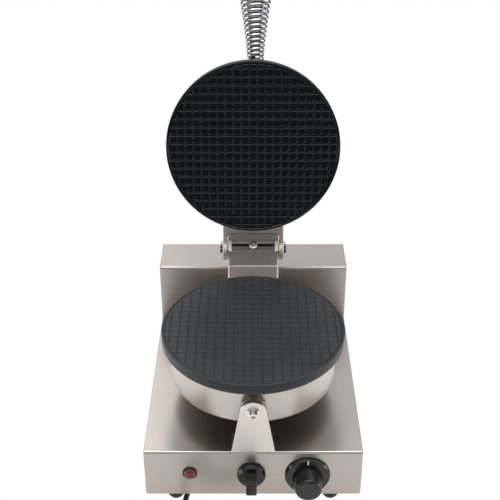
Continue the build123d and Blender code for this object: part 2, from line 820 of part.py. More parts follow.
save(control_body(switch_x, switch_z, 34, 34, 30), "switch_body")
save(control_body(thermostat_x, thermostat_z, 44, 36, 28), "thermostat_body")
save(control_shaft(switch_x, switch_z, 14), "switch_shaft")
save(control_shaft(thermostat_x, thermostat_z, 16), "thermostat_shaft")

switch_skirt = 15.8
bar_width = 11.8
bar_height = 20.6
with BuildPart() as switch_knob:
    add(
        turned(
            front_plane(switch_x, switch_z),
            [(0, knob_gap), (switch_skirt, knob_gap), (switch_skirt, 3), (switch_skirt - 2.2, 6), (0, 6)],
        )
    )
    with BuildSketch(front_plane(switch_x, switch_z)):
        RectangleRounded(bar_width, bar_height, 2.0)
    extrude(amount=22)
    add(
        turned(front_plane(switch_x, switch_z), [(0, 0), (shaft_radius, 0), (shaft_radius, 14), (0, 14)]),
        mode=Mode.SUBTRACT,
    )
    with BuildSketch(front_plane(switch_x, switch_z)):
        Circle(30)
    extrude(amount=knob_gap, mode=Mode.SUBTRACT)
    tip = switch_knob.faces().sort_by(Axis.Y)[0]
    fillet(tip.edges(), 1.0)
save(switch_knob.part, "switch_knob")

dial_radius = 25.1
grip_base = 16.5
grip_tip = 14.2
grip_length = 25.0
with BuildPart() as thermostat_dial:
    add(
        turned(
            front_plane(thermostat_x, thermostat_z),
            [
                (shaft_radius, knob_gap),
                (dial_radius - 1, knob_gap),
                (dial_radius, 1.5),
                (dial_radius - 1.5, 4.0),
                (grip_base + 0.6, 4.8),
                (grip_base + 0.6, 3.0),
                (shaft_radius, 3.0),
            ],
        )
    )
save(thermostat_dial.part, "thermostat_dial")
with BuildPart() as thermostat_grip:
    add(
        turned(
            front_plane(thermostat_x, thermostat_z),
            [
                (shaft_radius, 3.0),
                (grip_base, 3.0),
                (grip_base - 0.4, 7.0),
                (grip_tip, grip_length),
                (0, grip_length),
                (0, 16.0),
                (shaft_radius, 16.0),
            ],
        )
    )
    fillet(thermostat_grip.edges().sort_by(Axis.Y)[0], 3.0)
save(thermostat_grip.part, "thermostat_grip")

lens_radius = 7.1
lens_height = 5.0
bezel_radius = 8.2
bezel_height = 1.8
lamp_place = front_plane(lamp_x, lamp_z)
with BuildPart() as lamp_lens:
    with BuildSketch(Plane(origin=lamp_place.origin, x_dir=(1, 0, 0), z_dir=(0, 0, -1))):
        with BuildLine():
            Polyline((lens_radius, bezel_height - 0.3), (lens_radius, 0), (0, 0), (0, lens_height))
            ThreePointArc((0, lens_height), (5.2, 4.0), (lens_radius, bezel_height - 0.3))
        make_face()
    revolve(axis=Axis(lamp_place.origin, lamp_place.z_dir))
save(lamp_lens.part, "lamp_lens")

bezel_bore = lens_radius + 0.1
bezel_outline = [
    (bezel_bore, 0),
    (bezel_radius, 0),
    (bezel_radius, bezel_height - 0.5),
    (bezel_radius - 0.5, bezel_height),
    (bezel_bore, bezel_height),
]
save(turned(lamp_place, bezel_outline), "lamp_bezel")
lamp_outline = [(0, 0), (6, 0), (6, -1.2), (7.5, -1.2), (7.5, -4), (5, -24), (0, -24)]
save(turned(lamp_place, lamp_outline), "lamp_body")

with BuildPart() as terminal_block:
    with BuildSketch(Plane.XY.offset(base_bottom + sheet)):
        with Locations((-40, front_y + 200)):
            Rectangle(46, 22)
    extrude(amount=16)
    with BuildSketch(Plane.XY.offset(base_bottom + sheet + 16)):
        with Locations((-40, front_y + 200)):
            with GridLocations(14, 11, 3, 2):
                Circle(3.2)
    extrude(amount=-5, mode=Mode.SUBTRACT)
save(terminal_block.part, "terminal_block")

# ---- Mains lead ----
gland_axis_z = 9.6
gland_tip_y = gland_y - 36
with BuildPart() as cord_gland:
    with BuildSketch(Plane.XY.offset(gland_axis_z)):
        with Locations((gland_x, gland_y)):
            Circle(gland_bore - 0.2)
    extrude(amount=base_bottom + 12 - gland_axis_z)
    with BuildSketch(Plane.XY.offset(base_bottom)):
        with Locations((gland_x, gland_y)):
            Circle(11)
    extrude(amount=-3)
    with BuildSketch(Plane.XY.offset(base_bottom + sheet)):
        with Locations((gland_x, gland_y)):
            RegularPolygon(11, 6)
    extrude(amount=5)
    elbow = Plane(origin=(gland_x, gland_y + gland_bore, gland_axis_z), x_dir=(1, 0, 0), z_dir=(0, -1, 0))
    elbow_length = 2 * gland_bore + 1
    with BuildSketch(elbow):
        Circle(gland_bore + 1.8)
    extrude(amount=elbow_length)
    with BuildSketch(elbow.offset(elbow_length)):
        Circle(gland_bore + 0.6)
    with BuildSketch(elbow.offset(gland_y + gland_bore - gland_tip_y)):
        Circle(cord_radius + 1.2)
    loft()
save(cord_gland.part, "cord_gland")

rest_z = cord_radius + 0.05
coil_x = -79.5 + coil_outer_turn
coil_y = front_y - 78
# The lead's route from the gland's tip, along the table under the housing and out to its coil.
cord_route = [
    (gland_x, gland_tip_y, gland_axis_z),
    (gland_x - 0.5, gland_tip_y - 24, 8.6),
    (gland_x - 3.0, gland_tip_y - 46, rest_z + 0.6),
    (gland_x - 9.0, front_y + 44, rest_z),
    (gland_x - 14.4, front_y + 22, rest_z),
    (gland_x - 18.6, front_y - 2, rest_z),
    (gland_x - 19.4, front_y - 26, rest_z),
    (gland_x - 19.6, front_y - 50, rest_z),
    (gland_x - 19.2, front_y - 63, rest_z),
]
# The last stretch, from the coil's top turn to the plug's sleeve.
plug_z = 17.0
plug_y = front_y - 111.5
sleeve_x = coil_x + 66.0
tail_route = [
    (coil_x + 14.0, front_y - 119.9, rest_z + coil_turn),
    (coil_x + 27.0, front_y - 119.0, 10.4),
    (coil_x + 40.0, front_y - 116.6, 12.7),
    (coil_x + 53.0, front_y - 113.5, 15.7),
    (sleeve_x, plug_y, plug_z),
]


def arc_radii(points):
    """The arc for each corner of a route: 0.45 of its shorter run over the tangent of half its turn."""
    radii = []
    for before, corner, after in zip(points, points[1:], points[2:]):
        run_in = Vector(*corner) - Vector(*before)
        run_out = Vector(*after) - Vector(*corner)
        half_turn = radians(run_in.get_angle(run_out)) / 2
        radii.append(0.45 * min(run_in.length, run_out.length) / tan(half_turn))
    return radii


def cord_tube(points):
    """A round tube along a route of straight runs and tangent arcs."""
    radii = arc_radii(points)
    with BuildPart() as tube:
        with BuildLine():
            path = FilletPolyline(*points, radius=radii)
        with BuildSketch(Plane(origin=path @ 0, z_dir=path % 0)):
            Circle(cord_radius)
        sweep(path=path)
    print("arc radii", [round(radius) for radius in radii])
    expected = pi * cord_radius**2 * path.length
    print("tube volume", round(tube.part.volume), "section x length", round(expected))
    return tube.part


save(cord_tube(cord_route), "power_cord")
save(cord_tube(tail_route), "cord_tail")

coil_inner_turn = coil_outer_turn - 3 * coil_turn
with BuildPart() as cord_coil:
    with BuildSketch(Plane.XY):
        with Locations((coil_x, coil_y)):
            Circle(coil_outer_turn + cord_radius)
            Circle(coil_inner_turn - cord_radius, mode=Mode.SUBTRACT)
    extrude(amount=2 * cord_radius + coil_turn)
    fillet(cord_coil.edges(), 2.8)
save(cord_coil.part, "cord_coil")

plug_radius = 17.0
plug_plane = Plane(origin=(sleeve_x, plug_y, plug_z), x_dir=(0, 1, 0), z_dir=(1, 0, 0))
plug_outline = [
    (0, 0),
    (cord_radius + 1.0, 0),
    (6.5, 22),
    (9.5, 26),
    (plug_radius - 1.5, 40),
    (plug_radius, 43),
    (plug_radius, 60),
    (plug_radius - 1, 61),
    (0, 61),
]
save(turned(plug_plane, plug_outline), "plug_body")
with BuildPart() as plug_pins:
    with BuildSketch(plug_plane.offset(61)):
        with Locations((-9.5, 0), (9.5, 0)):
            Circle(2.4)
    extrude(amount=19)
    fillet(plug_pins.faces().sort_by(Axis.X)[-2:].edges(), 1.2)
save(plug_pins.part, "plug_pins")
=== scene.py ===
import json
from math import atan2, cos, hypot, pi, radians, sin, sqrt

import bmesh
import bpy
from mathutils import Matrix, Vector


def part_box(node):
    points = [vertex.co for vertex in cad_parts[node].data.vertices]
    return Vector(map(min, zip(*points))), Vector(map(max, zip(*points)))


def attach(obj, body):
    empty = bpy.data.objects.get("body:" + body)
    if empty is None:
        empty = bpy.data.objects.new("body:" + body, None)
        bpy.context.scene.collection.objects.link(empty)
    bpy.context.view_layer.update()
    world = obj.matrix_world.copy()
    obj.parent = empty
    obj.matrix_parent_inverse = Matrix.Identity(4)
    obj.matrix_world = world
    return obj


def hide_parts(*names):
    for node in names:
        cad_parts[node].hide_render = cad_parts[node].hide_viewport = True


# Looks for the waffle cone maker.
# Metres, in the CAD's frame: +X right, -Y front, +Z up, z = 0 under the feet.
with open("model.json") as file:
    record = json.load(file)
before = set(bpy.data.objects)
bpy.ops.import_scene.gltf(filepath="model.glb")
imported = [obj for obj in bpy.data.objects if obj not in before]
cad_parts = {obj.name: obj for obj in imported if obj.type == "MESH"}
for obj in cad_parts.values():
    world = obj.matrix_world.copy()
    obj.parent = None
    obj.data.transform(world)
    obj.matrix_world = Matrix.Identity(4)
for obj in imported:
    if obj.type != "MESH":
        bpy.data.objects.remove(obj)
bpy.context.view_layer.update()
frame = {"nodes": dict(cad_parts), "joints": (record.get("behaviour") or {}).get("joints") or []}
nodes = frame["nodes"]
scene = bpy.context.scene
MM = 0.001

# ---- Places read from the frame ----
front_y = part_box("base_cover")[0].y
plate_low, plate_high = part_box("lower_plate")
plate_radius = (plate_high.x - plate_low.x) / 2
plate_centre = Vector((0, (plate_low.y + plate_high.y) / 2, plate_high.z))
hinge = next(joint for joint in frame["joints"] if joint["name"] == "lid_hinge")
pin = Vector(hinge["pos_m"])
closing_angle = radians(hinge["range_deg"][1])
lid_tilt = closing_angle - pi / 2
lid_up = Vector((0, sin(lid_tilt), cos(lid_tilt)))
lid_normal = Vector((0, -cos(lid_tilt), sin(lid_tilt)))
pin_reach = pin.y - plate_centre.y
pin_face = 18.5 * MM  # from the hinge pin to the upper plate's baking face
lower_iron = Matrix.Translation(plate_centre)
upper_iron = (
    Matrix.Translation(pin + lid_up * pin_reach + lid_normal * pin_face)
    @ Matrix.Rotation(pi / 2 - lid_tilt, 4, "X")
)


# ---- Camera ----
def make_camera():
    """A slightly raised front view with a long lens, level from side to side."""
    data = bpy.data.cameras.new("camera")
    data.sensor_width = 36
    data.lens = 67.5
    data.shift_x = -0.0064
    data.shift_y = -0.1
    data.clip_start = 0.01
    camera = bpy.data.objects.new("camera", data)
    camera.location = (0, front_y - 0.7647, 0.8129)
    camera.rotation_euler = (radians(90 - 28.63), 0, 0)
    scene.collection.objects.link(camera)
    scene.camera = camera


make_camera()

# ---- Mains lead ----
cord_radius = 3.1 * MM
rest_z = 3.15 * MM
coil_turn = 6.3 * MM
coil_outer = 42 * MM
coil_x = -37.5 * MM
coil_y = front_y - 78 * MM
gland_x = -60 * MM
gland_tip_y = front_y + 114 * MM
cord_route = [
    (gland_x, gland_tip_y, 9.6 * MM),
    (gland_x - 0.5 * MM, gland_tip_y - 24 * MM, 8.6 * MM),
    (gland_x - 3.0 * MM, gland_tip_y - 46 * MM, rest_z + 0.6 * MM),
    (gland_x - 9.0 * MM, front_y + 44 * MM, rest_z),
    (gland_x - 14.4 * MM, front_y + 22 * MM, rest_z),
    (gland_x - 18.6 * MM, front_y - 2 * MM, rest_z),
    (gland_x - 19.4 * MM, front_y - 26 * MM, rest_z),
    (gland_x - 19.6 * MM, front_y - 50 * MM, rest_z),
    (gland_x - 19.2 * MM, front_y - 63 * MM, rest_z),
]
tail_route = [
    (coil_x + 14.0 * MM, front_y - 119.9 * MM, rest_z + coil_turn),
    (coil_x + 27.0 * MM, front_y - 119.0 * MM, 10.4 * MM),
    (coil_x + 40.0 * MM, front_y - 116.6 * MM, 12.7 * MM),
    (coil_x + 53.0 * MM, front_y - 113.5 * MM, 15.7 * MM),
    (coil_x + 66.0 * MM, front_y - 111.5 * MM, 17.0 * MM),
]


def coil_points():
    """Three turns inwards on the table, a quarter turn up, and three turns outwards on top of them."""
    steps = 16
    layer = 3 * steps
    climb = steps // 4
    inner = coil_outer - 3 * coil_turn
    points = []
    for step in range(layer + climb + layer + 1):
        if step <= layer:
            radius = coil_outer - coil_turn * step / steps
            height = rest_z
        elif step < layer + climb:
            radius = inner
            height = rest_z + coil_turn * (step - layer) / climb
        else:
            radius = inner + coil_turn * (step - layer - climb) / steps
            height = rest_z + coil_turn
        angle = pi + 2 * pi * step / steps
        points.append((coil_x + radius * cos(angle), coil_y + radius * sin(angle), height))
    return points


def make_cord():
    """The whole lead from the gland to the plug, on one smooth curve."""
    points = cord_route + coil_points() + tail_route
    data = bpy.data.curves.new("mains_lead", "CURVE")
    data.dimensions = "3D"
    data.bevel_depth = cord_radius
    data.bevel_resolution = 5
    data.use_fill_caps = True
    spline = data.splines.new("NURBS")
    spline.points.add(len(points) - 1)
    for control, point in zip(spline.points, points):
        control.co = (*point, 1)
    spline.order_u = 3
    spline.use_endpoint_u = True
    spline.resolution_u = 4
    lead = bpy.data.objects.new("mains_lead", data)
    scene.collection.objects.link(lead)
    return lead


lead = make_cord()


# ---- Materials ----
class Surface:
    """A Principled material and a few helpers that wire procedural detail into it."""

    def __init__(self, name, metallic=0.0, **settings):
        self.material = bpy.data.materials.new(name)
        self.material.use_nodes = True
        self.tree = self.material.node_tree
        self.shader = self.tree.nodes["Principled BSDF"]
        self.shader.inputs["Metallic"].default_value = metallic
        for socket, value in settings.items():
            self.shader.inputs[socket.replace("_", " ")].default_value = value
        self.normal = None

    def node(self, kind, **settings):
        made = self.tree.nodes.new(kind)
        for key, value in settings.items():
            setattr(made, key, value)
        return made

    def link(self, source, target):
        self.tree.links.new(source, target)

    def place(self, centre=(0, 0, 0), tilt=0.0):
        """Object coordinates measured from a centre, in a frame turned about X."""
        coordinates = self.node("ShaderNodeTexCoord")
        mapping = self.node("ShaderNodeMapping", vector_type="TEXTURE")
        mapping.inputs["Location"].default_value = centre
        mapping.inputs["Rotation"].default_value = (tilt, 0, 0)
        self.link(coordinates.outputs["Object"], mapping.inputs["Vector"])
        return mapping.outputs["Vector"]

    def around(self, place):
        """(angle, distance from the axis, height) of a place, for a grain that runs round an axis."""
        parts = self.node("ShaderNodeSeparateXYZ")
        self.link(place, parts.inputs[0])
        angle = self.node("ShaderNodeMath", operation="ARCTAN2")
        self.link(parts.outputs["Y"], angle.inputs[0])
        self.link(parts.outputs["X"], angle.inputs[1])
        flat = self.node("ShaderNodeCombineXYZ")
        self.link(parts.outputs["X"], flat.inputs["X"])
        self.link(parts.outputs["Y"], flat.inputs["Y"])
        radius = self.node("ShaderNodeVectorMath", operation="LENGTH")
        self.link(flat.outputs[0], radius.inputs[0])
        whole = self.node("ShaderNodeCombineXYZ")
        self.link(angle.outputs[0], whole.inputs["X"])
        self.link(radius.outputs["Value"], whole.inputs["Y"])
        self.link(parts.outputs["Z"], whole.inputs["Z"])
        return whole.outputs[0]

    def noise(self, place, per_metre, detail=4.0, roughness=0.55):
        """Noise with its own frequency along each axis."""
        stretch = self.node("ShaderNodeMapping")
        stretch.inputs["Scale"].default_value = per_metre
        self.link(place, stretch.inputs["Vector"])
        texture = self.node("ShaderNodeTexNoise")
        texture.inputs["Scale"].default_value = 1.0
        texture.inputs["Detail"].default_value = detail
        texture.inputs["Roughness"].default_value = roughness
        self.link(stretch.outputs["Vector"], texture.inputs["Vector"])
        return texture.outputs["Fac"]

    def blend(self, factor_a, factor_b, share):
        """A weighted mean of two grey patterns."""
        mix = self.node("ShaderNodeMix", data_type="FLOAT")
        mix.inputs["Factor"].default_value = share
        self.link(factor_a, mix.inputs["A"])
        self.link(factor_b, mix.inputs["B"])
        return mix.outputs["Result"]

    def color(self, factor, stops):
        """Base colour from a pattern; stops are (position, colour)."""
        ramp = self.node("ShaderNodeValToRGB")
        while len(ramp.color_ramp.elements) < len(stops):
            ramp.color_ramp.elements.new(0.5)
        for element, (position, color) in zip(ramp.color_ramp.elements, stops):
            element.position = position
            element.color = (*color, 1)
        self.link(factor, ramp.inputs["Fac"])
        self.link(ramp.outputs["Color"], self.shader.inputs["Base Color"])
        return ramp.outputs["Color"]

    def roughness(self, factor, low, high):
        """Roughness from a pattern whose useful range is 0.3 to 0.7."""
        remap = self.node("ShaderNodeMapRange")
        remap.inputs["From Min"].default_value = 0.3
        remap.inputs["From Max"].default_value = 0.7
        remap.inputs["To Min"].default_value = low
        remap.inputs["To Max"].default_value = high
        self.link(factor, remap.inputs["Value"])
        self.link(remap.outputs["Result"], self.shader.inputs["Roughness"])

    def bump(self, factor, depth, strength=1.0):
        """Adds a bump of the given depth in metres on top of the bumps already there."""
        bump = self.node("ShaderNodeBump")
        bump.inputs["Strength"].default_value = strength
        bump.inputs["Distance"].default_value = depth
        self.link(factor, bump.inputs["Height"])
        if self.normal is not None:
            self.link(self.normal, bump.inputs["Normal"])
        self.normal = bump.outputs["Normal"]
        self.link(self.normal, self.shader.inputs["Normal"])


def shades(color, spread):
    """Three colour stops round a colour, spread apart by a fraction of it."""
    dark = tuple(channel * (1 - spread) for channel in color)
    light = tuple(min(1.0, channel * (1 + spread)) for channel in color)
    return [(0.3, dark), (0.5, color), (0.7, light)]


def brushed(name, color, along, rough=(0.26, 0.36), centre=(0, 0, 0), tilt=0.0):
    """Brushed or spun sheet steel, whose grain runs along X, Y or Z, or round the local Z axis."""
    surface = Surface(name, metallic=1.0)
    spot = surface.place(centre, tilt)
    fine, coarse = 2600.0, 260.0
    if along == "round":
        spot = surface.around(spot)
        grain = surface.noise(spot, (3.0, fine, fine))
        bands = surface.noise(spot, (0.6, coarse, coarse), detail=3.0)
    else:
        reach = [24.0 if axis == along else fine for axis in "XYZ"]
        broad = [4.0 if axis == along else coarse for axis in "XYZ"]
        grain = surface.noise(spot, reach)
        bands = surface.noise(spot, broad, detail=3.0)
    clouds = surface.noise(spot, (9.0, 9.0, 9.0), detail=2.0)
    pattern = surface.blend(surface.blend(grain, bands, 0.35), clouds, 0.3)
    surface.color(pattern, shades(color, 0.05))
    surface.roughness(pattern, *rough)
    surface.bump(grain, 2e-6)
    return surface.material


def moulded(name, color, rough, grain=900.0, depth=2e-5, spread=0.12):
    """Moulded plastic or rubber with a fine leathery bump and slight unevenness of colour."""
    surface = Surface(name)
    spot = surface.place()
    fine = surface.noise(spot, (grain,) * 3, detail=3.0)
    clouds = surface.noise(spot, (35.0,) * 3, detail=3.0)
    pattern = surface.blend(fine, clouds, 0.6)
    surface.color(pattern, shades(color, spread))
    surface.roughness(pattern, *rough)
    surface.bump(fine, depth)
    return surface.material


def polished(name, color, rough=(0.06, 0.16)):
    """Plated or polished steel with faint handling marks."""
    surface = Surface(name, metallic=1.0)
    spot = surface.place()
    marks = surface.noise(spot, (420.0, 420.0, 60.0), detail=5.0)
    clouds = surface.noise(spot, (60.0,) * 3, detail=2.0)
    pattern = surface.blend(marks, clouds, 0.5)
    surface.color(pattern, shades(color, 0.06))
    surface.roughness(pattern, *rough)
    surface.bump(marks, 2e-6)
    return surface.material


def coated_plate(name, color, gloss, rough):
    """Cast plate with a dark, faintly speckled non-stick coating."""
    surface = Surface(name, Specular_IOR_Level=gloss, Specular_Tint=(0.88, 0.93, 1.0, 1.0))
    spot = surface.place()
    peel = surface.noise(spot, (700.0,) * 3, detail=3.0)
    speckle = surface.noise(spot, (2600.0,) * 3, detail=1.0)
    clouds = surface.noise(spot, (26.0,) * 3, detail=3.0)
    pattern = surface.blend(surface.blend(peel, speckle, 0.5), clouds, 0.4)
    surface.color(pattern, shades(color, 0.3))
    surface.roughness(pattern, *rough)
    surface.bump(peel, 2e-5, 0.5)
    return surface.material


STEEL = (0.45, 0.412, 0.382)
PAN_STEEL = (0.52, 0.475, 0.44)
materials = {
    "sheet_x": brushed("stainless_brushed_across", STEEL, "X"),
    "sheet_y": brushed("stainless_brushed_along", STEEL, "Y"),
    "pan_lower": brushed("spun_steel_lower", PAN_STEEL, "round", centre=plate_centre),
    "pan_upper": brushed(
        "spun_steel_upper", PAN_STEEL, "round", centre=upper_iron.translation, tilt=pi / 2 - lid_tilt
    ),
    "bracket": brushed("bracket_steel", (0.69, 0.635, 0.59), "Z", rough=(0.26, 0.36)),
    "hinge": brushed("hinge_steel", (0.72, 0.665, 0.62), "X", rough=(0.5, 0.6)),
    # Painted shade: the hinge pin, its sleeve and the handle rod get a very dark base colour that stands in
    # for the shade on the sleeve in the hinge window.
    "pin": brushed("pin_steel_painted_shade", (0.13, 0.115, 0.105), "X", rough=(0.22, 0.34)),
    "polished": polished("polished_steel", (0.66, 0.65, 0.63)),
    "chrome": polished("chrome_wire", (0.50, 0.50, 0.51), rough=(0.05, 0.12)),
    # Painted light and shade: the lower plate's coating gets a base colour about ten times lighter than the
    # upper plate's. They are a lit copy and a shaded copy of the same coating.
    "coating_lower_painted_light": coated_plate("nonstick_coating_painted_light", (0.024, 0.0245, 0.027), 0.35, (0.34, 0.44)),
    "coating_upper_painted_shade": coated_plate("nonstick_coating", (0.0025, 0.0026, 0.0029), 0.55, (0.16, 0.24)),
    "element": brushed("heater_sheath", (0.16, 0.14, 0.12), "round", rough=(0.4, 0.6), centre=plate_centre),
    "wool": moulded("mineral_wool", (0.62, 0.58, 0.46), (0.85, 0.98), grain=350.0, depth=6e-4),
    "black": moulded("black_plastic", (0.007, 0.007, 0.0074), (0.20, 0.30)),
    "white": moulded("ceramic_white", (0.70, 0.69, 0.64), (0.35, 0.5), spread=0.04),
    "rubber": moulded("foot_rubber", (0.016, 0.016, 0.017), (0.55, 0.7)),
    "lead": moulded("lead_sheath", (0.020, 0.020, 0.022), (0.38, 0.5), grain=600.0),
    "mark": moulded("dial_mark", (0.80, 0.80, 0.78), (0.4, 0.5), spread=0.03),
    "brass": polished("plated_pins", (0.70, 0.66, 0.56), rough=(0.15, 0.28)),
}


def lens_material():
    """Dark red translucent moulding."""
    surface = Surface("lamp_red", Coat_Weight=0.3, Subsurface_Weight=0.15, IOR=1.49)
    surface.shader.inputs["Subsurface Radius"].default_value = (0.004, 0.0006, 0.0006)
    spot = surface.place()
    pattern = surface.noise(spot, (260.0,) * 3, detail=2.0)
    surface.color(pattern, shades((0.17, 0.018, 0.030), 0.35))
    surface.roughness(pattern, 0.14, 0.24)
    return surface.material


materials["lens"] = lens_material()


# ---- Mesh helpers ----
def finish_mesh(mesh, name, material, sharp_degrees=32):
    """Turns a bmesh into a linked object with smooth shading split at sharp edges."""
    bmesh.ops.remove_doubles(mesh, verts=mesh.verts, dist=1e-6)
    bmesh.ops.recalc_face_normals(mesh, faces=mesh.faces)
    data = bpy.data.meshes.new(name)
    mesh.to_mesh(data)
    mesh.free()
    data.polygons.foreach_set("use_smooth", [True] * len(data.polygons))
    data.set_sharp_from_angle(angle=radians(sharp_degrees))
    data.materials.append(materials[material])
    piece = bpy.data.objects.new(name, data)
    scene.collection.objects.link(piece)
    return piece


def rings(mesh, loops):
    """Quads between successive closed loops of the same number of points; returns the loops' vertices."""
    rows = [[mesh.verts.new(point) for point in loop] for loop in loops]
    count = len(rows[0])
    for lower, upper in zip(rows, rows[1:]):
        for index in range(count):
            after = (index + 1) % count
            mesh.faces.new((lower[index], lower[after], upper[after], upper[index]))
    return rows


def turned(mesh, outline, matrix, angles):
    """A surface of revolution about local Z; outline is (radius, height), and a zero radius closes it."""
    previous = None
    count = len(angles)
    for radius, height in outline:
        if radius < 1e-9:
            row = [mesh.verts.new(matrix @ Vector((0, 0, height)))]
        else:
            row = [
                mesh.verts.new(matrix @ Vector((radius * cos(angle), radius * sin(angle), height)))
                for angle in angles
            ]
        if previous is not None:
            for index in range(count):
                after = (index + 1) % count
                corners = [previous[index % len(previous)], previous[after % len(previous)]]
                corners += [row[after % len(row)], row[index % len(row)]]
                unique = list(dict.fromkeys(corners))
                if len(unique) > 2:
                    mesh.faces.new(unique)
        previous = row


def even(count):
    """Evenly spaced angles round a full turn."""
    return [2 * pi * index / count for index in range(count)]


# ---- Baking plates ----
upper_grid_pitch = (9.6 * MM, 10.1 * MM)  # a cell stands in the middle
lower_grid_pitch = (10.5 * MM, 9.6 * MM)  # two grooves cross in the middle
grid_radius = 101.6 * MM  # of the round groove that closes the grid
groove_depth = 0.8 * MM
# Across a groove from its centre: (distance, height) of the floor's edge, the wall's top and the rounded lip.
groove_steps = [(0.25 * MM, -groove_depth), (0.6 * MM, -0.35 * MM), (0.95 * MM, -0.07 * MM), (1.2 * MM, 0.0)]
plate_thickness = 12.5 * MM
spigot_radius = 93.4 * MM
spigot_depth = 6 * MM


def cell_outline(x, y, pitch, inset):
    """The outline of the cell at x, y, shrunk by inset and cut by the round groove, and whether it was cut.

    The outline is None if nothing of the cell is left."""
    half_x, half_y = pitch[0] / 2 - inset, pitch[1] / 2 - inset
    limit = grid_radius - inset
    x0, x1 = x - half_x, x + half_x
    y0, y1 = y - half_y, y + half_y
    corners = [(x0, y0), (x1, y0), (x1, y1), (x0, y1)]
    if all(hypot(*corner) <= limit for corner in corners):
        return corners, False
    points = []
    for (ax, ay), (bx, by) in zip(corners, corners[1:] + corners[:1]):
        if hypot(ax, ay) <= limit:
            points.append((ax, ay))
        dx, dy = bx - ax, by - ay
        a = dx * dx + dy * dy
        b = ax * dx + ay * dy
        c = ax * ax + ay * ay - limit * limit
        under = b * b - a * c
        if under > 0:
            crossings = sorted([(-b - sqrt(under)) / a, (-b + sqrt(under)) / a])
            points += [(ax + dx * t, ay + dy * t) for t in crossings if 1e-9 < t < 1 - 1e-9]
    if len(points) < 3:
        return None, True
    return points, True


def with_arc(points, limit):
    """The same outline with the stretch on the round groove followed by short steps."""
    result = []
    for (ax, ay), (bx, by) in zip(points, points[1:] + points[:1]):
        result.append((ax, ay))
        on_arc = abs(hypot(ax, ay) - limit) < 1e-9 and abs(hypot(bx, by) - limit) < 1e-9
        start, end = atan2(ay, ax), atan2(by, bx)
        turn = (end - start) % (2 * pi)
        if on_arc and turn < 0.5:
            steps = max(1, round(turn / radians(1.5)))
            for step in range(1, steps):
                angle = start + turn * step / steps
                result.append((limit * cos(angle), limit * sin(angle)))
    return result


def area(points):
    """Signed area of a polygon."""
    return sum(ax * by - bx * ay for (ax, ay), (bx, by) in zip(points, points[1:] + points[:1])) / 2


def stitch(mesh, outer, inner):
    """Triangles between two nested convex loops of vertices, joined in the order of their angles."""
    middle = sum((vertex.co for vertex in inner), Vector()) / len(inner)

    def ordered(loop):
        def bearing(vertex):
            return atan2(vertex.co.y - middle.y, vertex.co.x - middle.x)

        first = min(range(len(loop)), key=lambda index: bearing(loop[index]))
        turned_loop = loop[first:] + loop[:first]
        return turned_loop, [bearing(vertex) for vertex in turned_loop]

    loop_a, angles_a = ordered(outer)
    loop_b, angles_b = ordered(inner)
    count_a, count_b = len(loop_a), len(loop_b)
    i = j = 0
    while i < count_a or j < count_b:
        next_a = angles_a[(i + 1) % count_a] + 2 * pi * ((i + 1) // count_a)
        next_b = angles_b[(j + 1) % count_b] + 2 * pi * ((j + 1) // count_b)
        corner_a, corner_b = loop_a[i % count_a], loop_b[j % count_b]
        if j >= count_b or (i < count_a and next_a <= next_b):
            mesh.faces.new((corner_a, loop_a[(i + 1) % count_a], corner_b))
            i += 1
        else:
            mesh.faces.new((corner_a, loop_b[(j + 1) % count_b], corner_b))
            j += 1


def grid_plate(name, matrix, pitch, offset, coating):
    """A baking plate, face up at local z = 0, whose shallow cells stand between narrow grooves.

    offset moves the cells sideways by this part of their pitch."""
    mesh = bmesh.new()
    reach = int(grid_radius / min(pitch)) + 1
    rim_angles = set()
    for column in range(-reach, reach + 1):
        for row in range(-reach, reach + 1):
            cell = (column + offset) * pitch[0], (row + offset) * pitch[1]
            floor, cut = cell_outline(*cell, pitch, 0.0)
            if floor is None:
                continue
            floor = with_arc(floor, grid_radius) if cut else floor
            for x, y in floor:
                if abs(hypot(x, y) - grid_radius) < 1e-9:
                    rim_angles.add(round(atan2(y, x) % (2 * pi), 9))
            base = [mesh.verts.new((x, y, -groove_depth)) for x, y in floor]
            levels = []
            for inset, height in groove_steps:
                outline, level_cut = cell_outline(*cell, pitch, inset)
                if outline is None or area(outline) < 2e-6:
                    levels = []
                    break
                outline = with_arc(outline, grid_radius - inset) if level_cut else outline
                levels.append([mesh.verts.new((x, y, height)) for x, y in outline])
            if not levels:
                mesh.faces.new(base)
                continue
            for outer, inner in zip([base] + levels, levels):
                if len(outer) == 4 and len(inner) == 4 and not cut:
                    for index in range(4):
                        after = (index + 1) % 4
                        mesh.faces.new((outer[index], outer[after], inner[after], inner[index]))
                else:
                    stitch(mesh, outer, inner)
            mesh.faces.new(levels[-1])
    outline = [(grid_radius, -groove_depth)]
    outline += [(grid_radius + distance, height) for distance, height in groove_steps]
    outline += [
        (plate_radius - 1.1 * MM, 0),
        (plate_radius - 0.75 * MM, -0.1 * MM),
        (plate_radius - 0.25 * MM, -0.5 * MM),
        (plate_radius, -1.1 * MM),
        (plate_radius, -plate_thickness + 1.0 * MM),
        (plate_radius - 1.0 * MM, -plate_thickness),
        (spigot_radius, -plate_thickness),
        (spigot_radius, -plate_thickness - spigot_depth),
        (0, -plate_thickness - spigot_depth),
    ]
    turned(mesh, outline, Matrix.Identity(4), sorted(rim_angles))
    mesh.transform(matrix)
    plate = finish_mesh(mesh, name, coating, sharp_degrees=28)
    facing = matrix.to_3x3() @ Vector((0, 0, 1))
    for face in plate.data.polygons:
        face.use_smooth = abs(face.normal.dot(facing)) < 0.9999
    return plate


lower_grid = grid_plate("lower_grid_plate", lower_iron, lower_grid_pitch, 0.5, "coating_lower_painted_light")
upper_grid = grid_plate("upper_grid_plate", upper_iron, upper_grid_pitch, 0.0, "coating_upper_painted_shade")

# ---- Handle ----
handle_slope = radians(25)
handle_depth = -14 * MM - pin_face
handle_x = 2.8 * MM
pan_radius = 95.2 * MM
handle_seat = upper_iron.translation + lid_normal * handle_depth + lid_up * pan_radius
handle_seat += Vector((handle_x, 0, 0))
handle_direction = lid_up * cos(handle_slope) - lid_normal * sin(handle_slope)


